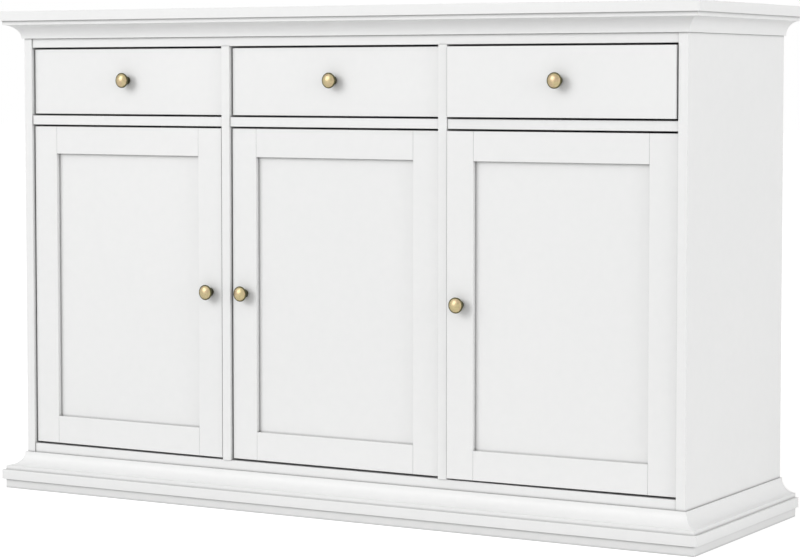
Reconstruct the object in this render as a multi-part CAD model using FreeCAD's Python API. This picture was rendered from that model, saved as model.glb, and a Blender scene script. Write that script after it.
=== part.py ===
"""Three-bay sideboard with a moulded cornice and base, three drawers over three doors.

Millimetres, +Z up, +X to the right seen from the front, +Y towards the back.
The origin is on the floor, under the middle of the overall width and depth.
The carcass is 16 mm board. Drawer fronts and doors are inset in their openings.
The right-hand drawer, the right-hand door and the left-hand door stand a little open at rest.
"""
import FreeCAD
import Part
import math
import os

from FreeCAD import Vector

# Overall size
TOTAL_WIDTH = 1346.0
TOTAL_DEPTH = 427.0
TOTAL_HEIGHT = 850.0

# Boards and sheets
BOARD = 16.0
SLAB = 17.0
SLAB_OVERHANG = 33.0
BACK_SHEET = 3.0

# The cove strip, used upright in the base and turned over in the cornice
STRIP_PROJECTION = 27.5
STRIP_FILLET = 7.0
COVE_RADIUS = 24.0

# Plinth
PLINTH_HEIGHT = 16.0
PLINTH_STRIP_WIDTH = 40.0

# Openings and the gaps round the fronts
BAYS = ("left", "centre", "right")
DRAWER_OPENING_HEIGHT = 120.0
SIDE_GAP = 2.2
HEIGHT_GAP = 3.3
FRONT_RECESS = 5.8
EDGE_RECESS = 2.0
FRONT_THICKNESS = 16.0

# Doors: a frame with a sunk panel
FRAME_WIDTH = 48.0
PANEL_RECESS = 8.0
PANEL_THICKNESS = 5.0
GROOVE_DEPTH = 7.0
GROOVE_CLEARANCE = 0.1
PANEL_EDGE_CLEARANCE = 1.0
HINGE_SIDE = {"left": "left", "centre": "right", "right": "right"}
DOOR_AJAR_DEG = {"left": 0.5, "centre": 0.0, "right": 1.5}

# Hinges: a cup in the door, and a cranked arm on the wall that carries one pin
HINGE_FROM_DOOR_END = 90.0
PIVOT_FROM_DOOR_EDGE = 11.0
PIVOT_BEHIND_FRONT = 6.0
CUP_EDGE_DISTANCE = 3.0
CUP_TO_GROOVE = 3.0
CUP_DEPTH = 13.0
CUP_WALL = 1.0
CUP_FLOOR = 0.6
CUP_CLEARANCE = 0.2
CUP_FLANGE_THICKNESS = 1.2
CUP_FLANGE_RIM = 2.0
CUP_EAR_REACH = 27.0
CUP_EAR_WIDTH = 12.0
PIN_RADIUS = 1.25
PIN_RUNNING_CLEARANCE = 0.05
ARM_HEIGHT = 10.0
ARM_THICKNESS = 3.0
ARM_EYE_RADIUS = 2.2
ARM_TO_CUP_EDGE = 7.0
ARM_BEND = 5.0
ARM_BEHIND_DOOR = 12.0
PLATE_LENGTH = 46.0
PLATE_HEIGHT = 34.0
PLATE_THICKNESS = 3.0
PLATE_BEFORE_ARM = 3.0
PLATE_SCREW_RADIUS = 3.5
PLATE_SCREW_HEAD = 1.5
PLATE_SCREW_FROM_END = 17.0
PLATE_SCREW_SPACING = 22.0

# Drawers: each stands out from the line of the closed doors by its own distance
DRAWER_OUT = {"left": -1.2, "centre": -1.2, "right": 10.0}
BOX_SIDE_CLEARANCE = 12.8
BOX_THICKNESS = 12.0
BOX_LENGTH = 345.0
BOX_HEIGHT = 84.0
BOX_ABOVE_SHELF = 16.0
BOTTOM_SHEET = 3.0
BOTTOM_RAISE = 8.0
BOTTOM_GROOVE_DEPTH = 5.0
FRONT_GROOVE_DEPTH = 4.0

# Runners: a channel on the carcass, and a smaller one on the drawer inside it
RUNNER_GAUGE = 1.2
RUNNER_HEIGHT = 35.0
RUNNER_WIDTH = 11.5
RUNNER_CLEARANCE = 0.5
RUNNER_LENGTH = 350.0
RUNNER_BEHIND_FRONT = 4.0
RUNNER_ABOVE_SHELF = 49.0

# Knobs, turned round an axis that runs out of the front
KNOB_ABOVE_MIDDLE = 2.0
KNOB_RADIUS = 13.0
KNOB_FOOT_RADIUS = 7.0
KNOB_NECK_RADIUS = 8.5
KNOB_NECK_OUT = 8.0
KNOB_FOOT_LENGTH = 2.0
KNOB_RIM_START = 14.0
KNOB_RIM_LENGTH = 2.2
KNOB_LIP = 1.6
KNOB_RIM_CHAMFER = 0.8
KNOB_DOME_RISE = 4.4
KNOB_BORE_DEPTH = 12.0
SCREW_RADIUS = 1.95
SCREW_CLEARANCE = 0.05
SCREW_HOLE_CLEARANCE = 0.3
SCREW_HEAD_RADIUS = 4.0
SCREW_HEAD_LENGTH = 2.4
SCREW_SHORT_OF_BORE = 1.0

# Loose shelves on pins
SHELF_SETBACK = 29.0
SHELF_SIDE_CLEARANCE = 1.0
SHELF_TOP_ABOVE_BOTTOM_PANEL = 285.0
PIN_TO_SHELF_CLEARANCE = 0.1
SHELF_PIN_RADIUS = 2.45
SHELF_PIN_HOLE_RADIUS = 2.5
SHELF_PIN_IN_WALL = 6.5
SHELF_PIN_OUT = 9.0
PIN_HOLE_DEPTH = 7.0
PIN_HOLE_PITCH = 32.0
PIN_HOLES_EACH_WAY = 2
PIN_ROW_BEHIND_FRONT = (60.0, 333.0)

# Derived places
FRONT = -TOTAL_DEPTH / 2 + SLAB_OVERHANG
BACK = TOTAL_DEPTH / 2
HALF_WIDTH = TOTAL_WIDTH / 2 - SLAB_OVERHANG
INNER_HALF = HALF_WIDTH - BOARD
BAY_WIDTH = (2 * INNER_HALF - 2 * BOARD) / 3
INNER_BACK = BACK - BACK_SHEET
STRIP_HEIGHT = STRIP_FILLET + COVE_RADIUS
STRIP_BACKING = BOARD
BASE_STRIP_Z = PLINTH_HEIGHT + SLAB
CARCASS_Z = BASE_STRIP_Z + STRIP_HEIGHT
CORNICE_Z = TOTAL_HEIGHT - SLAB - STRIP_HEIGHT
BOTTOM_TOP = CARCASS_Z + BOARD
TOP_UNDER = CORNICE_Z - BOARD
SHELF_TOP = TOP_UNDER - DRAWER_OPENING_HEIGHT
SHELF_UNDER = SHELF_TOP - BOARD
BAY_LEFT = {
    bay: -INNER_HALF + index * (BAY_WIDTH + BOARD) for index, bay in enumerate(BAYS)
}
FRONT_FACE = FRONT + FRONT_RECESS
FRONT_BACK = FRONT_FACE + FRONT_THICKNESS
LOOSE_SHELF_TOP = BOTTOM_TOP + SHELF_TOP_ABOVE_BOTTOM_PANEL
PIN_ROW_Z = LOOSE_SHELF_TOP - BOARD - SHELF_PIN_RADIUS - PIN_TO_SHELF_CLEARANCE
PIVOT_FROM_WALL = SIDE_GAP + PIVOT_FROM_DOOR_EDGE
CUP_RADIUS = (FRAME_WIDTH - GROOVE_DEPTH - CUP_EDGE_DISTANCE - CUP_TO_GROOVE) / 2
CUP_FAR_EDGE = SIDE_GAP + CUP_EDGE_DISTANCE + 2 * CUP_RADIUS
ARM_REACH = CUP_FAR_EDGE - ARM_TO_CUP_EDGE - PIVOT_FROM_WALL
UP = Vector(0, 0, 1)


def box(x0, x1, y0, y1, z0, z1):
    """A block between two corners, given in any order."""
    xs, ys, zs = sorted((x0, x1)), sorted((y0, y1)), sorted((z0, z1))
    size = (xs[1] - xs[0], ys[1] - ys[0], zs[1] - zs[0])
    return Part.makeBox(*size, Vector(xs[0], ys[0], zs[0]))


def rod(radius, start, end):
    """A round bar from one point to another."""
    return Part.makeCylinder(radius, (end - start).Length, start, end - start)


def prism(points, direction):
    """A closed outline of points, swept along a direction."""
    wire = Part.makePolygon(list(points) + [points[0]])
    return Part.Face(wire).extrude(direction)


def save(name, *shapes):
    """Writes one node, which may hold several separate solids."""
    solids = [solid for shape in shapes for solid in shape.Solids]
    for solid in solids:
        if not solid.isValid() or solid.Volume <= 0:
            raise ValueError(f"{name} holds a bad solid")
    Part.makeCompound(solids).exportStep(f"parts/{name}.step")


# ---------------------------------------------------------------- cornice and base


def strip_outline(place, foot_z, upside_down):
    """The cove strip's section. place(out, z) gives a point at a distance out from the carcass."""
    sign = -1 if upside_down else 1

    def at(out, height):
        return place(out, foot_z + sign * height)

    tip = STRIP_PROJECTION
    neck = tip - COVE_RADIUS
    middle = COVE_RADIUS * math.sqrt(0.5)
    arc = Part.Arc(
        at(tip, STRIP_FILLET),
        at(tip - middle, STRIP_HEIGHT - middle),
        at(neck, STRIP_HEIGHT),
    ).toShape()
    lines = [
        (at(neck, STRIP_HEIGHT), at(-STRIP_BACKING, STRIP_HEIGHT)),
        (at(-STRIP_BACKING, STRIP_HEIGHT), at(-STRIP_BACKING, 0)),
        (at(-STRIP_BACKING, 0), at(tip, 0)),
        (at(tip, 0), at(tip, STRIP_FILLET)),
    ]
    edges = [arc] + [Part.LineSegment(a, b).toShape() for a, b in lines]
    return Part.Face(Part.Wire(Part.__sortEdges__(edges)))


def strips(foot_z, upside_down):
    """The front strip and its two returns, mitred at the corners."""
    reach = HALF_WIDTH + STRIP_PROJECTION
    low, high = sorted((foot_z, foot_z + (-1 if upside_down else 1) * STRIP_HEIGHT))
    inner = HALF_WIDTH - STRIP_BACKING

    front = strip_outline(
        lambda out, z: Vector(-reach, FRONT - out, z), foot_z, upside_down
    ).extrude(Vector(2 * reach, 0, 0))
    plan = [
        Vector(-reach, FRONT - STRIP_PROJECTION, low),
        Vector(reach, FRONT - STRIP_PROJECTION, low),
        Vector(inner, FRONT + STRIP_BACKING, low),
        Vector(-inner, FRONT + STRIP_BACKING, low),
    ]
    made = [front.common(prism(plan, UP * (high - low)))]
    for side in (-1, 1):
        start = FRONT - STRIP_PROJECTION
        run = strip_outline(
            lambda out, z, side=side: Vector(side * (HALF_WIDTH + out), start, z),
            foot_z,
            upside_down,
        ).extrude(Vector(0, BACK - start, 0))
        plan = [
            Vector(side * reach, start, low),
            Vector(side * reach, BACK, low),
            Vector(side * inner, BACK, low),
            Vector(side * inner, FRONT + STRIP_BACKING, low),
        ]
        made.append(run.common(prism(plan, UP * (high - low))))
    return made


def rear_rails():
    """Two rails that close the cornice and the base at the back."""
    inner = HALF_WIDTH - STRIP_BACKING
    return [
        box(-inner, inner, BACK - STRIP_BACKING, BACK, z, z + STRIP_HEIGHT)
        for z in (BASE_STRIP_Z, CORNICE_Z)
    ]


def slab(z):
    """A full board that stands out over the front and both ends."""
    half = TOTAL_WIDTH / 2
    return box(-half, half, FRONT - SLAB_OVERHANG, BACK, z, z + SLAB)


def plinth_strips():
    """Four strips flat on the floor, under the base board."""
    reach = HALF_WIDTH + STRIP_PROJECTION
    front_y = FRONT - STRIP_PROJECTION
    inner = reach - PLINTH_STRIP_WIDTH
    behind = front_y + PLINTH_STRIP_WIDTH
    return [
        box(-reach, reach, front_y, behind, 0, PLINTH_HEIGHT),
        box(-reach, -inner, behind, BACK, 0, PLINTH_HEIGHT),
        box(inner, reach, behind, BACK, 0, PLINTH_HEIGHT),
        box(-inner, inner, BACK - PLINTH_STRIP_WIDTH, BACK, 0, PLINTH_HEIGHT),
    ]


# ---------------------------------------------------------------- carcass


def pin_holes(x, direction):
    """Two columns of blind holes in a wall whose face is at x, drilled along direction."""
    cuts = []
    for behind in PIN_ROW_BEHIND_FRONT:
        for step in range(-PIN_HOLES_EACH_WAY, PIN_HOLES_EACH_WAY + 1):
            mouth = Vector(x, FRONT + behind, PIN_ROW_Z + step * PIN_HOLE_PITCH)
            floor = mouth + Vector(direction * PIN_HOLE_DEPTH, 0, 0)
            cuts.append(rod(SHELF_PIN_HOLE_RADIUS, mouth, floor))
    return cuts


def side_panel(side):
    """An end of the carcass. side is -1 on the left and 1 on the right."""
    panel = box(side * INNER_HALF, side * HALF_WIDTH, FRONT, BACK, CARCASS_Z, CORNICE_Z)
    return panel.cut(pin_holes(side * INNER_HALF, side))


def divider(left_bay):
    """The upright board on the right of a bay."""
    x = BAY_LEFT[left_bay] + BAY_WIDTH
    board = box(x, x + BOARD, FRONT, INNER_BACK, BOTTOM_TOP, TOP_UNDER)
    return board.cut(pin_holes(x, 1) + pin_holes(x + BOARD, -1))


def cross_board(z):
    """A board between the two end panels, as deep as the carcass inside."""
    return box(-INNER_HALF, INNER_HALF, FRONT + EDGE_RECESS, INNER_BACK, z, z + BOARD)


def drawer_shelf(bay):
    """The fixed board between a drawer and the door under it."""
    x = BAY_LEFT[bay]
    return box(x, x + BAY_WIDTH, FRONT + EDGE_RECESS, INNER_BACK, SHELF_UNDER, SHELF_TOP)


def loose_shelf(bay):
    """A shelf that lies on four pins."""
    x = BAY_LEFT[bay]
    return box(
        x + SHELF_SIDE_CLEARANCE,
        x + BAY_WIDTH - SHELF_SIDE_CLEARANCE,
        FRONT + SHELF_SETBACK,
        INNER_BACK - SHELF_SIDE_CLEARANCE,
        LOOSE_SHELF_TOP - BOARD,
        LOOSE_SHELF_TOP,
    )


def shelf_pins(bay):
    """Four pins in the middle holes of a bay."""
    pins = []
    for wall, inward in ((BAY_LEFT[bay], 1), (BAY_LEFT[bay] + BAY_WIDTH, -1)):
        for behind in PIN_ROW_BEHIND_FRONT:
            mouth = Vector(wall, FRONT + behind, PIN_ROW_Z)
            start = mouth - Vector(inward * SHELF_PIN_IN_WALL, 0, 0)
            end = mouth + Vector(inward * SHELF_PIN_OUT, 0, 0)
            pins.append(rod(SHELF_PIN_RADIUS, start, end))
    return pins


def back_sheets():
    """Three thin sheets, which meet behind the middles of the dividers."""
    first = BAY_LEFT["left"] + BAY_WIDTH + BOARD / 2
    joins = [-INNER_HALF, first, -first, INNER_HALF]
    return [
        box(joins[i], joins[i + 1], INNER_BACK, BACK, CARCASS_Z, CORNICE_Z)
        for i in range(3)
    ]


# ---------------------------------------------------------------- knobs


def knob_profile():
    """Half of the knob's section, from its axis: radius against distance out from the front."""
    rim_end = KNOB_RIM_START + KNOB_RIM_LENGTH
    lip_radius = KNOB_RADIUS - KNOB_LIP
    rim_edge = KNOB_RIM_START + KNOB_LIP / 2
    face_radius = KNOB_RADIUS - KNOB_RIM_CHAMFER
    sphere = (lip_radius**2 + KNOB_DOME_RISE**2) / (2 * KNOB_DOME_RISE)
    sphere_centre = rim_end + KNOB_DOME_RISE - sphere
    half_way = math.asin(lip_radius / sphere) / 2

    def at(radius, out):
        return Vector(radius, 0, out)

    neck = Part.Arc(
        at(KNOB_FOOT_RADIUS, KNOB_FOOT_LENGTH),
        at(KNOB_NECK_RADIUS, KNOB_NECK_OUT),
        at(lip_radius, KNOB_RIM_START),
    )
    dome = Part.Arc(
        at(lip_radius, rim_end),
        at(sphere * math.sin(half_way), sphere_centre + sphere * math.cos(half_way)),
        at(0, rim_end + KNOB_DOME_RISE),
    )
    pieces = [
        Part.LineSegment(at(0, 0), at(KNOB_FOOT_RADIUS, 0)),
        Part.LineSegment(at(KNOB_FOOT_RADIUS, 0), at(KNOB_FOOT_RADIUS, KNOB_FOOT_LENGTH)),
        neck,
        Part.LineSegment(at(lip_radius, KNOB_RIM_START), at(KNOB_RADIUS, rim_edge)),
        Part.LineSegment(at(KNOB_RADIUS, rim_edge), at(KNOB_RADIUS, rim_end - KNOB_RIM_CHAMFER)),
        Part.LineSegment(at(KNOB_RADIUS, rim_end - KNOB_RIM_CHAMFER), at(face_radius, rim_end)),
        Part.LineSegment(at(face_radius, rim_end), at(lip_radius, rim_end)),
        dome,
        Part.LineSegment(at(0, rim_end + KNOB_DOME_RISE), at(0, 0)),
    ]
    return Part.Face(Part.Wire([piece.toShape() for piece in pieces]))


def knob(x, z):
    """A knob on the front face at (x, z), and the screw that holds it from behind."""
    turned = knob_profile().revolve(Vector(0, 0, 0), UP, 360)
    turned.rotate(Vector(0, 0, 0), Vector(1, 0, 0), 90)
    turned.translate(Vector(x, FRONT_FACE, z))
    inner_end = Vector(x, FRONT_FACE - KNOB_BORE_DEPTH, z)
    turned = turned.cut(rod(SCREW_RADIUS + SCREW_CLEARANCE, Vector(x, FRONT_FACE, z), inner_end))
    tip = inner_end + Vector(0, SCREW_SHORT_OF_BORE, 0)
    seat = Vector(x, FRONT_BACK, z)
    screw = rod(SCREW_RADIUS, tip, seat).fuse(
        rod(SCREW_HEAD_RADIUS, seat, seat + Vector(0, SCREW_HEAD_LENGTH, 0))
    )
    return [turned, screw.removeSplitter()]


def screw_hole(x, z):
    """The hole for a knob's screw, through the front."""
    radius = SCREW_RADIUS + SCREW_HOLE_CLEARANCE
    return rod(radius, Vector(x, FRONT_FACE, z), Vector(x, FRONT_BACK, z))


# ---------------------------------------------------------------- drawers


def channel(wall, side, start, length, reach, height, near):
    """A U-shaped steel runner that lies between near and reach from the wall.

    At the wall it opens into the bay. Away from the wall it opens towards the wall.
    """
    centre = SHELF_TOP + RUNNER_ABOVE_SHELF
    low, high = centre - height / 2, centre + height / 2
    web_inside = near > 0
    outer = box(wall + side * near, wall + side * reach, start, start + length, low, high)
    if web_inside:
        hollow_near, hollow_far = near, reach - RUNNER_GAUGE
    else:
        hollow_near, hollow_far = near + RUNNER_GAUGE, reach
    hollow = box(
        wall + side * hollow_near,
        wall + side * hollow_far,
        start,
        start + length,
        low + RUNNER_GAUGE,
        high - RUNNER_GAUGE,
    )
    return outer.cut(hollow)


def bay_walls(bay):
    """The two walls of a bay, each with the direction that leads into the bay."""
    return ((BAY_LEFT[bay], 1), (BAY_LEFT[bay] + BAY_WIDTH, -1))


def cabinet_runners(bay):
    """The two channels on the walls of a drawer opening."""
    start = FRONT_BACK + RUNNER_BEHIND_FRONT
    return [
        channel(wall, side, start, RUNNER_LENGTH, RUNNER_WIDTH, RUNNER_HEIGHT, 0)
        for wall, side in bay_walls(bay)
    ]


def drawer(bay):
    """The pieces of one drawer, closed, as a dict from piece to list of solids."""
    left = BAY_LEFT[bay]
    right = left + BAY_WIDTH
    centre_x = (left + right) / 2
    low = SHELF_TOP + HEIGHT_GAP
    high = TOP_UNDER - HEIGHT_GAP
    knob_z = (low + high) / 2 + KNOB_ABOVE_MIDDLE
    box_left = left + BOX_SIDE_CLEARANCE
    box_right = right - BOX_SIDE_CLEARANCE
    box_low = SHELF_TOP + BOX_ABOVE_SHELF
    box_high = box_low + BOX_HEIGHT
    box_back = FRONT_BACK + BOX_LENGTH
    sheet_low = box_low + BOTTOM_RAISE
    sheet_high = sheet_low + BOTTOM_SHEET
    groove = box(
        box_left + BOX_THICKNESS - BOTTOM_GROOVE_DEPTH - PANEL_EDGE_CLEARANCE,
        box_right - BOX_THICKNESS + BOTTOM_GROOVE_DEPTH + PANEL_EDGE_CLEARANCE,
        FRONT_BACK - FRONT_GROOVE_DEPTH - PANEL_EDGE_CLEARANCE,
        box_back,
        sheet_low - GROOVE_CLEARANCE,
        sheet_high + GROOVE_CLEARANCE,
    )
    front = box(left + SIDE_GAP, right - SIDE_GAP, FRONT_FACE, FRONT_BACK, low, high)
    sides = [
        box(box_left, box_left + BOX_THICKNESS, FRONT_BACK, box_back, box_low, box_high),
        box(box_right - BOX_THICKNESS, box_right, FRONT_BACK, box_back, box_low, box_high),
    ]
    back = box(
        box_left + BOX_THICKNESS,
        box_right - BOX_THICKNESS,
        box_back - BOX_THICKNESS,
        box_back,
        sheet_high + GROOVE_CLEARANCE,
        box_high,
    )
    sheet = box(
        box_left + BOX_THICKNESS - BOTTOM_GROOVE_DEPTH,
        box_right - BOX_THICKNESS + BOTTOM_GROOVE_DEPTH,
        FRONT_BACK - FRONT_GROOVE_DEPTH,
        box_back,
        sheet_low,
        sheet_high,
    )
    inner_height = RUNNER_HEIGHT - 2 * RUNNER_GAUGE - 2 * RUNNER_CLEARANCE
    near = RUNNER_GAUGE + RUNNER_CLEARANCE
    runners = [
        channel(wall, side, FRONT_BACK, BOX_LENGTH, BOX_SIDE_CLEARANCE, inner_height, near)
        for wall, side in bay_walls(bay)
    ]
    return {
        "front": [front.cut([groove, screw_hole(centre_x, knob_z)])],
        "sides": [side.cut(groove) for side in sides],
        "back": [back],
        "bottom": [sheet],
        "runners": runners,
        "knob": knob(centre_x, knob_z),
    }


# ---------------------------------------------------------------- doors


def hinge_wall(bay):
    """The wall that a bay's door hangs on, and the direction from it into the bay."""
    walls = bay_walls(bay)
    return walls[0] if HINGE_SIDE[bay] == "left" else walls[1]


def door_height():
    """The lowest and highest edge of a closed door."""
    return BOTTOM_TOP + HEIGHT_GAP, SHELF_UNDER - HEIGHT_GAP


def hinge_heights():
    low, high = door_height()
    return (low + HINGE_FROM_DOOR_END, high - HINGE_FROM_DOOR_END)


def pivot(bay):
    """A door's hinge axis, at floor height."""
    wall, side = hinge_wall(bay)
    return Vector(wall + side * PIVOT_FROM_WALL, FRONT_FACE + PIVOT_BEHIND_FRONT, 0)


def cup_centre_x(bay):
    wall, side = hinge_wall(bay)
    return wall + side * (CUP_FAR_EDGE - CUP_RADIUS)


def hinge_arm(bay, z):
    """The plate on the wall and the cranked arm that ends in an eye round the pin."""
    wall, side = hinge_wall(bay)
    axis = pivot(bay)
    half = ARM_THICKNESS / 2
    low = z - ARM_HEIGHT / 2
    foot = FRONT_BACK + ARM_BEHIND_DOOR - axis.y
    wall_end = PLATE_THICKNESS - PIVOT_FROM_WALL
    mitre = half * math.tan(math.pi / 8)

    def at(across, behind):
        """A point at a distance from the pin, away from the wall and towards the back."""
        return Vector(axis.x + side * across, axis.y + behind, low)

    outline = [
        at(0, -half),
        at(ARM_REACH - ARM_BEND + mitre, -half),
        at(ARM_REACH + half, ARM_BEND - mitre),
        at(ARM_REACH + half, foot - ARM_BEND + mitre),
        at(ARM_REACH - ARM_BEND + mitre, foot + half),
        at(wall_end, foot + half),
        at(wall_end, foot - half),
        at(ARM_REACH - ARM_BEND - mitre, foot - half),
        at(ARM_REACH - half, foot - ARM_BEND - mitre),
        at(ARM_REACH - half, ARM_BEND + mitre),
        at(ARM_REACH - ARM_BEND - mitre, half),
        at(0, half),
    ]
    arm = prism(outline, UP * ARM_HEIGHT)
    eye = Part.makeCylinder(ARM_EYE_RADIUS, ARM_HEIGHT, Vector(axis.x, axis.y, low))
    plate_start = axis.y + foot - PLATE_BEFORE_ARM
    plate = box(
        wall,
        wall + side * PLATE_THICKNESS,
        plate_start,
        plate_start + PLATE_LENGTH,
        z - PLATE_HEIGHT / 2,
        z + PLATE_HEIGHT / 2,
    )
    made = plate.fuse([arm, eye])
    for lift in (-1, 1):
        head = Vector(
            wall + side * PLATE_THICKNESS,
            plate_start + PLATE_LENGTH - PLATE_SCREW_FROM_END,
            z + lift * PLATE_SCREW_SPACING / 2,
        )
        made = made.fuse(
            rod(PLATE_SCREW_RADIUS, head, head + Vector(side * PLATE_SCREW_HEAD, 0, 0))
        )
    bore = Part.makeCylinder(
        PIN_RADIUS + PIN_RUNNING_CLEARANCE, ARM_HEIGHT, Vector(axis.x, axis.y, low)
    )
    return made.removeSplitter().cut(bore)


def hinge_cup(bay, z):
    """The cup let into the back of a door, with its flange, and the pin across it."""
    x = cup_centre_x(bay)
    axis = pivot(bay)
    floor = FRONT_BACK - CUP_DEPTH
    radius = CUP_RADIUS - CUP_CLEARANCE
    back = Vector(0, 1, 0)
    body = Part.makeCylinder(radius, CUP_DEPTH, Vector(x, floor, z), back)
    seat = Vector(x, FRONT_BACK, z)
    flange = Part.makeCylinder(CUP_RADIUS + CUP_FLANGE_RIM, CUP_FLANGE_THICKNESS, seat, back)
    ears = box(
        x - CUP_EAR_WIDTH / 2,
        x + CUP_EAR_WIDTH / 2,
        FRONT_BACK,
        FRONT_BACK + CUP_FLANGE_THICKNESS,
        z - CUP_EAR_REACH,
        z + CUP_EAR_REACH,
    )
    hollow = Part.makeCylinder(
        radius - CUP_WALL,
        CUP_DEPTH + CUP_FLANGE_THICKNESS,
        Vector(x, floor + CUP_FLOOR, z),
        back,
    )
    across = abs(axis.x - x)
    half_pin = math.sqrt(radius**2 - across**2) - CUP_WALL / 2
    pin = rod(PIN_RADIUS, axis + UP * (z - half_pin), axis + UP * (z + half_pin))
    cup = body.fuse([flange, ears]).cut(hollow).removeSplitter()
    return [cup.cut(pin), pin]


def door(bay):
    """The pieces of one door, closed, as a dict from piece to list of solids."""
    wall, side = hinge_wall(bay)
    low, high = door_height()
    hinge_edge = wall + side * SIDE_GAP
    free_edge = wall + side * (BAY_WIDTH - SIDE_GAP)
    hinge_inner = hinge_edge + side * FRAME_WIDTH
    free_inner = free_edge - side * FRAME_WIDTH
    groove_front = FRONT_FACE + PANEL_RECESS
    groove_back = groove_front + PANEL_THICKNESS + 2 * GROOVE_CLEARANCE
    panel_low, panel_high = low + FRAME_WIDTH, high - FRAME_WIDTH
    groove = box(
        hinge_inner - side * GROOVE_DEPTH,
        free_inner + side * GROOVE_DEPTH,
        groove_front,
        groove_back,
        low,
        high,
    )
    rail_groove = box(
        hinge_inner,
        free_inner,
        groove_front,
        groove_back,
        panel_low - GROOVE_DEPTH,
        panel_high + GROOVE_DEPTH,
    )
    knob_x = free_edge - side * FRAME_WIDTH / 2
    knob_z = (low + high) / 2 + KNOB_ABOVE_MIDDLE
    hinge_stile = box(hinge_edge, hinge_inner, FRONT_FACE, FRONT_BACK, low, high).cut(groove)
    for z in hinge_heights():
        seat = Vector(cup_centre_x(bay), FRONT_BACK - CUP_DEPTH, z)
        hinge_stile = hinge_stile.cut(
            Part.makeCylinder(CUP_RADIUS, CUP_DEPTH, seat, Vector(0, 1, 0))
        )
    knob_stile = box(free_inner, free_edge, FRONT_FACE, FRONT_BACK, low, high)
    knob_stile = knob_stile.cut([groove, screw_hole(knob_x, knob_z)])
    tongue = GROOVE_DEPTH - PANEL_EDGE_CLEARANCE
    rails = []
    for start, end in ((low, panel_low), (panel_high, high)):
        rail = box(hinge_inner, free_inner, FRONT_FACE, FRONT_BACK, start, end)
        rail = rail.fuse(
            box(
                hinge_inner - side * tongue,
                free_inner + side * tongue,
                groove_front + GROOVE_CLEARANCE,
                groove_back - GROOVE_CLEARANCE,
                start,
                end,
            )
        )
        rails.append(rail.cut(rail_groove).removeSplitter())
    panel = box(
        hinge_inner - side * tongue,
        free_inner + side * tongue,
        groove_front + GROOVE_CLEARANCE,
        groove_back - GROOVE_CLEARANCE,
        panel_low - tongue,
        panel_high + tongue,
    )
    # the rails' tongues run past the panel's corners, so those corners are notched
    notches = [
        box(inner, inner - way * side * GROOVE_DEPTH, groove_front, groove_back, a, b)
        for inner, way in ((hinge_inner, 1), (free_inner, -1))
        for a, b in ((low, panel_low), (panel_high, high))
    ]
    return {
        "hinge_stile": [hinge_stile],
        "knob_stile": [knob_stile],
        "rails": rails,
        "panel": [panel.cut(notches)],
        "hinge_cups": [piece for z in hinge_heights() for piece in hinge_cup(bay, z)],
        "knob": knob(knob_x, knob_z),
    }


# ---------------------------------------------------------------- the whole sideboard


def main():
    os.makedirs("parts", exist_ok=True)

    save("top_board", slab(TOTAL_HEIGHT - SLAB))
    save("base_board", slab(PLINTH_HEIGHT))
    for name, foot_z, upside_down in (
        ("cornice", TOTAL_HEIGHT - SLAB, True),
        ("base", BASE_STRIP_Z, False),
    ):
        for place, strip in zip(("front", "left", "right"), strips(foot_z, upside_down)):
            save(f"{name}_strip_{place}", strip)
    save("rear_rails", *rear_rails())
    save("plinth_strips", *plinth_strips())

    save("side_panel_left", side_panel(-1))
    save("side_panel_right", side_panel(1))
    save("divider_left", divider("left"))
    save("divider_right", divider("centre"))
    save("top_panel", cross_board(TOP_UNDER))
    save("bottom_panel", cross_board(CARCASS_Z))
    save("back_sheets", *back_sheets())
    save("loose_shelves", *[loose_shelf(bay) for bay in BAYS])
    save("shelf_pins", *[pin for bay in BAYS for pin in shelf_pins(bay)])
    save("cabinet_runners", *[runner for bay in BAYS for runner in cabinet_runners(bay)])
    save("hinge_arms", *[hinge_arm(bay, z) for bay in BAYS for z in hinge_heights()])

    for bay in BAYS:
        save(f"drawer_shelf_{bay}", drawer_shelf(bay))
        for piece, solids in drawer(bay).items():
            for solid in solids:
                solid.translate(Vector(0, -DRAWER_OUT[bay], 0))
            save(f"drawer_{bay}_{piece}", *solids)
        opening = DOOR_AJAR_DEG[bay] * (-1 if HINGE_SIDE[bay] == "left" else 1)
        for piece, solids in door(bay).items():
            for solid in solids:
                solid.rotate(pivot(bay), UP, opening)
            save(f"door_{bay}_{piece}", *solids)


main()
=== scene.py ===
"""Looks of the sideboard: satin white boards, antiqued brass knobs and a plain white studio."""

import math

import bpy
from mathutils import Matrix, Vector

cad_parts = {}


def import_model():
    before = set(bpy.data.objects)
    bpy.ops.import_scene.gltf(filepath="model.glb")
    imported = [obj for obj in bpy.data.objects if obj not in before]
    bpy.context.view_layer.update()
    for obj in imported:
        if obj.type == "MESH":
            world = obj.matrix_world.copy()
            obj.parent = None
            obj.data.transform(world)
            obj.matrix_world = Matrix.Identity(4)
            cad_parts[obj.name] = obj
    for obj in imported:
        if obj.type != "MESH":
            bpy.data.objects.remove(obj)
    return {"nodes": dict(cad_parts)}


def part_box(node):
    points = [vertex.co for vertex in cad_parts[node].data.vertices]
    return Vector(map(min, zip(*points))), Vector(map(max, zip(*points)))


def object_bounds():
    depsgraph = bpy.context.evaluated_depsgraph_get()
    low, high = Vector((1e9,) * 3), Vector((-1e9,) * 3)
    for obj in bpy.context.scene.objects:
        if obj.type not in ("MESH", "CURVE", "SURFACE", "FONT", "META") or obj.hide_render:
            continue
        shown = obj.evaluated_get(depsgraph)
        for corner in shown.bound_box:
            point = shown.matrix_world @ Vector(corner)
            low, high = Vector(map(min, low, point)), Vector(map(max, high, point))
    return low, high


MM = 0.001

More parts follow.
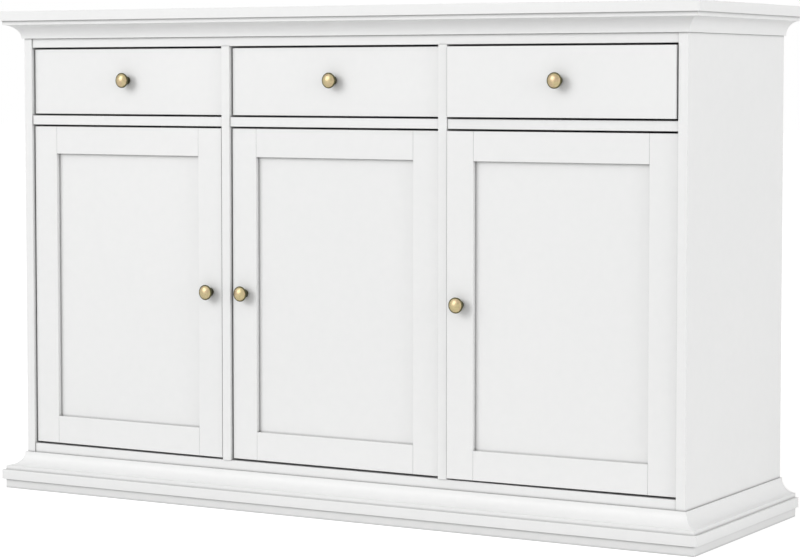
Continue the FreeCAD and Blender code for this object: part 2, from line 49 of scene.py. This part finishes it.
# The camera, in metres and degrees
CAMERA_PLACE = (2.2095, -3.7695, 0.7287)
CAMERA_YAW = 30.07
CAMERA_PITCH_DOWN = 3.396
CAMERA_LENS = 114.47
CAMERA_SENSOR = 36.0
CAMERA_SHIFT_Y = -0.06

# Light levels, where 1 is white
HORIZON_LIGHT = 0.70
ZENITH_LIGHT = 0.53
FLOOR_GLOW = 0.62
FLOOR_SIZE = 60.0

# Rounding of the boards' edges
EDGE_ROUNDING = 0.6 * MM

STEEL_NODES = ("hinge_arms", "cabinet_runners", "shelf_pins")
STEEL_ENDINGS = ("_hinge_cups", "_runners")
BOX_ENDINGS = ("_sides", "_back", "_bottom")
UPRIGHT_ENDINGS = ("_stile", "_panel", "_panel_left", "_panel_right")


# ---------------------------------------------------------------- material helpers


class Material:
    """A node material with a Principled shader, built up step by step."""

    def __init__(self, name):
        self.material = bpy.data.materials.new(name)
        self.material.use_nodes = True
        self.tree = self.material.node_tree
        self.shader = self.tree.nodes["Principled BSDF"]
        self.place = self.add("ShaderNodeTexCoord")

    def add(self, kind, **settings):
        made = self.tree.nodes.new(kind)
        for key, value in settings.items():
            setattr(made, key, value)
        return made

    def link(self, output, target):
        self.tree.links.new(output, target)

    def stretched(self, source, scale):
        """Coordinates multiplied along each axis."""
        mapping = self.add("ShaderNodeMapping")
        mapping.inputs["Scale"].default_value = scale
        self.link(source, mapping.inputs["Vector"])
        return mapping.outputs["Vector"]

    def noise(self, source, scale, detail=2.0, roughness=0.5):
        texture = self.add("ShaderNodeTexNoise")
        texture.inputs["Scale"].default_value = scale
        texture.inputs["Detail"].default_value = detail
        texture.inputs["Roughness"].default_value = roughness
        self.link(source, texture.inputs["Vector"])
        return texture.outputs["Fac"]

    def math(self, operation, a, b=None):
        made = self.add("ShaderNodeMath", operation=operation)
        for socket, value in zip(made.inputs, (a, b)):
            if isinstance(value, (int, float)):
                socket.default_value = value
            elif value is not None:
                self.link(value, socket)
        return made.outputs[0]

    def ranged(self, value, low, high, to_low, to_high, smooth=False):
        made = self.add("ShaderNodeMapRange")
        if smooth:
            made.interpolation_type = "SMOOTHSTEP"
        bounds = {"From Min": low, "From Max": high, "To Min": to_low, "To Max": to_high}
        for key, number in bounds.items():
            made.inputs[key].default_value = number
        self.link(value, made.inputs["Value"])
        return made.outputs["Result"]

    def mixed(self, factor, first, second):
        """Two colours mixed by a factor. A colour is a tuple or another node's output."""
        made = self.add("ShaderNodeMix", data_type="RGBA")
        for socket, value in ((made.inputs[6], first), (made.inputs[7], second)):
            if isinstance(value, tuple):
                socket.default_value = (*value, 1.0)
            else:
                self.link(value, socket)
        self.link(factor, made.inputs["Factor"])
        return made.outputs[2]

    def bump(self, height, strength, distance, below=None):
        made = self.add("ShaderNodeBump")
        made.inputs["Strength"].default_value = strength
        made.inputs["Distance"].default_value = distance
        self.link(height, made.inputs["Height"])
        if below is not None:
            self.link(below, made.inputs["Normal"])
        return made.outputs["Normal"]

    def painted_corner_shade(self, colour, reach, depth):
        """Painted shade: a colour darkened where other surfaces come close, as in joints, gaps and inner corners."""
        near = self.add("ShaderNodeAmbientOcclusion", samples=8)
        near.inputs["Distance"].default_value = reach
        shade = self.ranged(near.outputs["AO"], 0.3, 0.95, 1.0 - depth, 1.0)
        made = self.add("ShaderNodeMix", data_type="RGBA", blend_type="MULTIPLY")
        made.inputs["Factor"].default_value = 1.0
        self.link(colour, made.inputs[6])
        self.link(shade, made.inputs[7])
        return made.outputs[2]

    def finish(self, colour=None, roughness=None, normal=None, **constants):
        for key, output in (("Base Color", colour), ("Roughness", roughness), ("Normal", normal)):
            if output is not None:
                self.link(output, self.shader.inputs[key])
        for key, value in constants.items():
            self.shader.inputs[key.replace("_", " ")].default_value = value
        return self.material


# ---------------------------------------------------------------- materials


def white_paint(name, grain):
    """Satin white lacquer over board, with a faint grain stretched by the three factors in grain, and painted shade
    near its corners, gaps and joints.
    """
    m = Material(name)
    place = m.place.outputs["Object"]
    clouds = m.noise(place, 2.5, 2.0)
    mottle = m.noise(place, 70.0, 3.0)
    tone = m.math("ADD", m.ranged(clouds, 0.3, 0.7, 0.0, 0.6), m.ranged(mottle, 0.3, 0.7, 0.0, 0.4))
    colour = m.mixed(tone, (0.845, 0.848, 0.845), (0.872, 0.872, 0.868))
    roughness = m.ranged(m.noise(place, 22.0, 3.0), 0.3, 0.7, 0.40, 0.50)
    fibres = m.noise(m.stretched(place, grain), 1.0, 4.0, 0.6)
    peel = m.noise(place, 750.0, 1.0)
    normal = m.bump(fibres, 0.12, 0.12 * MM)
    normal = m.bump(peel, 0.08, 0.08 * MM, below=normal)
    # Painted shade: a broad, light darkening near inner corners and under overhangs, and a narrow, deep one in gaps,
    # joints and tight corners.
    colour = m.painted_corner_shade(m.painted_corner_shade(colour, 35.0 * MM, 0.13), 4.5 * MM, 0.5)
    return m.finish(colour, roughness, normal)


def drawer_foil():
    """White foil with a fine linen weave, inside the drawers."""
    m = Material("drawer_foil")
    place = m.place.outputs["Object"]
    threads = []
    for scale in ((900.0, 60.0, 60.0), (60.0, 900.0, 900.0)):
        threads.append(m.noise(m.stretched(place, scale), 1.0, 2.0))
    weave = m.math("MULTIPLY", *threads)
    colour = m.mixed(m.ranged(weave, 0.1, 0.4, 0.0, 1.0), (0.76, 0.75, 0.72), (0.82, 0.815, 0.79))
    roughness = m.ranged(weave, 0.1, 0.4, 0.60, 0.48)
    return m.finish(colour, roughness, m.bump(weave, 0.25, 0.15 * MM))


def back_board():
    """Thin fibre board: white foil inside, bare brown fibres towards the wall, and two joins."""
    m = Material("back_board")
    place = m.place.outputs["Object"]
    facing = m.add("ShaderNodeSeparateXYZ")
    m.link(m.place.outputs["Normal"], facing.inputs[0])
    bare = m.math("GREATER_THAN", facing.outputs["Y"], 0.5)
    fibres = m.noise(place, 260.0, 5.0, 0.7)
    clouds = m.noise(place, 9.0, 3.0)
    brown = m.mixed(m.ranged(fibres, 0.3, 0.7, 0.0, 1.0), (0.33, 0.22, 0.13), (0.47, 0.34, 0.21))
    brown = m.mixed(m.ranged(clouds, 0.3, 0.7, 0.0, 0.35), brown, (0.52, 0.40, 0.27))
    white = m.mixed(m.ranged(clouds, 0.3, 0.7, 0.0, 1.0), (0.79, 0.79, 0.77), (0.83, 0.83, 0.81))
    low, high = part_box("divider_right")
    axes = m.add("ShaderNodeSeparateXYZ")
    m.link(place, axes.inputs[0])
    sideways = m.math("SUBTRACT", m.math("ABSOLUTE", axes.outputs["X"]), (low.x + high.x) / 2)
    join = m.ranged(m.math("ABSOLUTE", sideways), 0.3 * MM, 0.9 * MM, 1.0, 0.0)
    colour = m.mixed(join, m.mixed(bare, white, brown), (0.07, 0.05, 0.035))
    roughness = m.ranged(bare, 0.0, 1.0, 0.48, 0.80)
    return m.finish(colour, roughness, m.bump(fibres, 0.2, 0.15 * MM))


def zinc_steel():
    """Rolled and zinc-plated steel, with faint spangle and fine lines."""
    m = Material("zinc_steel_finish")
    place = m.place.outputs["Object"]
    spangle = m.add("ShaderNodeTexVoronoi")
    spangle.inputs["Scale"].default_value = 320.0
    m.link(place, spangle.inputs["Vector"])
    lines = m.noise(m.stretched(place, (1400.0, 40.0, 1400.0)), 1.0, 2.0)
    tone = m.math("ADD", m.math("MULTIPLY", spangle.outputs["Distance"], 0.5), m.math("MULTIPLY", lines, 0.5))
    colour = m.mixed(m.ranged(tone, 0.2, 0.7, 0.0, 1.0), (0.50, 0.51, 0.53), (0.66, 0.67, 0.68))
    roughness = m.ranged(lines, 0.3, 0.7, 0.28, 0.42)
    return m.finish(colour, roughness, m.bump(lines, 0.1, 0.05 * MM), Metallic=1.0)


def antique_brass():
    """Brass, olive-brown on the neck and round the rim and rubbed bright on the dome; a zinc screw."""
    m = Material("antique_brass")
    place = m.place.outputs["Object"]
    low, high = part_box("drawer_centre_knob")
    size = high - low
    axes = m.add("ShaderNodeSeparateXYZ")
    m.link(m.place.outputs["Generated"], axes.inputs[0])
    across = m.math("MULTIPLY", m.math("SUBTRACT", axes.outputs["X"], 0.5), size.x)
    upward = m.math("MULTIPLY", m.math("SUBTRACT", axes.outputs["Z"], 0.5), size.z)
    radius = m.math("POWER", m.math("ADD", m.math("MULTIPLY", across, across), m.math("MULTIPLY", upward, upward)), 0.5)
    behind = m.math("MULTIPLY", axes.outputs["Y"], size.y)
    rim = m.ranged(radius, 10.6 * MM, 11.6 * MM, 0.0, 1.0, smooth=True)
    neck = m.ranged(behind, 5.4 * MM, 6.6 * MM, 0.0, 1.0, smooth=True)
    blotches = m.noise(place, 330.0, 4.0, 0.65)
    worn = m.ranged(blotches, 0.35, 0.65, -0.12, 0.22)
    patina = m.add("ShaderNodeMath", operation="ADD", use_clamp=True)
    m.link(m.math("MAXIMUM", rim, neck), patina.inputs[0])
    m.link(worn, patina.inputs[1])
    patina = patina.outputs[0]
    rosy = m.ranged(m.noise(place, 90.0, 2.0), 0.42, 0.62, 0.0, 0.7)
    bright = m.mixed(rosy, (0.50, 0.42, 0.235), (0.51, 0.375, 0.25))
    colour = m.mixed(patina, bright, (0.085, 0.08, 0.04))
    screw = m.math("GREATER_THAN", behind, 25.0 * MM)
    colour = m.mixed(screw, colour, (0.56, 0.57, 0.59))
    roughness = m.ranged(patina, 0.0, 1.0, 0.40, 0.50)
    scratches = m.noise(m.stretched(place, (300.0, 300.0, 2400.0)), 1.0, 3.0)
    return m.finish(colour, roughness, m.bump(scratches, 0.08, 0.05 * MM), Metallic=1.0)


# ---------------------------------------------------------------- boards' edges


def round_edges(obj, width):
    """Joins the split faces of an imported board and rounds its sharp edges a little."""
    weld = obj.modifiers.new("join_faces", "WELD")
    weld.merge_threshold = 0.001 * MM
    merge = obj.modifiers.new("whole_faces", "DECIMATE")
    merge.decimate_type = "DISSOLVE"
    merge.angle_limit = math.radians(1.0)
    bevel = obj.modifiers.new("rounded_edges", "BEVEL")
    bevel.width = width
    bevel.segments = 2
    bevel.limit_method = "ANGLE"
    bevel.angle_limit = math.radians(40.0)
    bevel.use_clamp_overlap = False
    flat = obj.modifiers.new("flat_faces", "WEIGHTED_NORMAL")
    flat.mode = "FACE_AREA"
    flat.weight = 100


def dress(nodes):
    """Gives each CAD node its material, and the boards their rounded edges."""
    upright = white_paint("white_paint_upright", (260.0, 260.0, 9.0))
    lengthways = white_paint("white_paint_lengthways", (9.0, 260.0, 260.0))
    foil = drawer_foil()
    back = back_board()
    steel = zinc_steel()
    brass = antique_brass()
    for name, obj in nodes.items():
        rounded = True
        if name.endswith("_knob"):
            material = brass
            rounded = False
        elif name in STEEL_NODES or name.endswith(STEEL_ENDINGS):
            material = steel
            rounded = False
        elif name == "back_sheets":
            material = back
            rounded = False
        elif name.startswith("drawer_") and name.endswith(BOX_ENDINGS):
            material = foil
        elif name.endswith(UPRIGHT_ENDINGS) or name.startswith(("side_panel", "divider")):
            material = upright
        else:
            material = lengthways
        obj.data.materials.clear()
        obj.data.materials.append(material)
        if rounded and "_strip" not in name:
            round_edges(obj, EDGE_ROUNDING)


# ---------------------------------------------------------------- studio


def seen_directly(tree):
    """1 for rays that show the background: the camera's, and those that metal or glass sends on."""
    path = tree.nodes.new("ShaderNodeLightPath")
    total = path.outputs["Is Camera Ray"]
    for other in ("Is Glossy Ray", "Is Transmission Ray"):
        larger = tree.nodes.new("ShaderNodeMath")
        larger.operation = "MAXIMUM"
        tree.links.new(total, larger.inputs[0])
        tree.links.new(path.outputs[other], larger.inputs[1])
        total = larger.outputs[0]
    return total


def make_world():
    """An even pale light, which looks white behind the object."""
    world = bpy.data.worlds.new("studio")
    bpy.context.scene.world = world
    world.use_nodes = True
    tree = world.node_tree
    light = tree.nodes["Background"]
    light.inputs["Color"].default_value = (1.0, 1.0, 1.0, 1.0)
    direction = tree.nodes.new("ShaderNodeTexCoord")
    axes = tree.nodes.new("ShaderNodeSeparateXYZ")
    tree.links.new(direction.outputs["Generated"], axes.inputs[0])
    fade = tree.nodes.new("ShaderNodeMapRange")
    fade.inputs["To Min"].default_value = HORIZON_LIGHT
    fade.inputs["To Max"].default_value = ZENITH_LIGHT
    tree.links.new(axes.outputs["Z"], fade.inputs["Value"])
    tree.links.new(fade.outputs["Result"], light.inputs["Strength"])
    white = tree.nodes.new("ShaderNodeBackground")
    white.inputs["Color"].default_value = (1.0, 1.0, 1.0, 1.0)
    white.inputs["Strength"].default_value = 1.0
    mix = tree.nodes.new("ShaderNodeMixShader")
    tree.links.new(seen_directly(tree), mix.inputs["Fac"])
    tree.links.new(light.outputs[0], mix.inputs[1])
    tree.links.new(white.outputs[0], mix.inputs[2])
    tree.links.new(mix.outputs[0], tree.nodes["World Output"].inputs["Surface"])


def make_floor():
    """A pale floor that looks white to the camera and keeps the object's soft shadow."""
    bpy.ops.mesh.primitive_plane_add(size=FLOOR_SIZE, location=(0.0, 0.0, 0.0))
    floor = bpy.context.object
    floor.name = "floor"
    material = bpy.data.materials.new("floor_paper")
    material.use_nodes = True
    tree = material.node_tree
    tree.nodes.clear()
    paper = tree.nodes.new("ShaderNodeBsdfDiffuse")
    paper.inputs["Color"].default_value = (0.70, 0.70, 0.70, 1.0)
    glow = tree.nodes.new("ShaderNodeEmission")
    glow.inputs["Strength"].default_value = FLOOR_GLOW
    both = tree.nodes.new("ShaderNodeAddShader")
    tree.links.new(paper.outputs[0], both.inputs[0])
    tree.links.new(glow.outputs[0], both.inputs[1])
    mix = tree.nodes.new("ShaderNodeMixShader")
    tree.links.new(seen_directly(tree), mix.inputs["Fac"])
    tree.links.new(paper.outputs[0], mix.inputs[1])
    tree.links.new(both.outputs[0], mix.inputs[2])
    output = tree.nodes.new("ShaderNodeOutputMaterial")
    tree.links.new(mix.outputs[0], output.inputs["Surface"])
    floor.data.materials.append(material)


def soft_box(name, place, target, size, watts):
    """A square lamp that points at a target."""
    data = bpy.data.lights.new(name, "AREA")
    data.shape = "SQUARE"
    data.size = size
    data.energy = watts
    lamp = bpy.data.objects.new(name, data)
    lamp.location = place
    lamp.rotation_euler = (Vector(target) - Vector(place)).to_track_quat("-Z", "Y").to_euler()
    bpy.context.scene.collection.objects.link(lamp)
    return lamp


def make_lights(low, high):
    """A soft key light from the upper left in front, and a weak one from the right."""
    middle = (low + high) / 2
    key_direction = Vector((-0.46, -0.74, 0.38)).normalized()
    soft_box("key", middle + key_direction * 14.0, middle, 8.05, 835.0)
    side_direction = Vector((0.92, -0.15, 0.20)).normalized()
    soft_box("side", middle + side_direction * 6.0, middle, 3.5, 100.0)


def make_camera():
    data = bpy.data.cameras.new("camera")
    data.sensor_width = CAMERA_SENSOR
    data.lens = CAMERA_LENS
    data.shift_y = CAMERA_SHIFT_Y
    camera = bpy.data.objects.new("camera", data)
    camera.location = CAMERA_PLACE
    camera.rotation_euler = (
        math.radians(90.0 - CAMERA_PITCH_DOWN),
        0.0,
        math.radians(CAMERA_YAW),
    )
    bpy.context.scene.collection.objects.link(camera)
    bpy.context.scene.camera = camera


# ---------------------------------------------------------------- the scene


def main():
    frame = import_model()
    cad_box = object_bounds()
    make_camera()
    dress(frame["nodes"])
    make_world()
    make_floor()
    make_lights(*cad_box)
    bpy.context.scene.view_settings.view_transform = "Standard"


main()
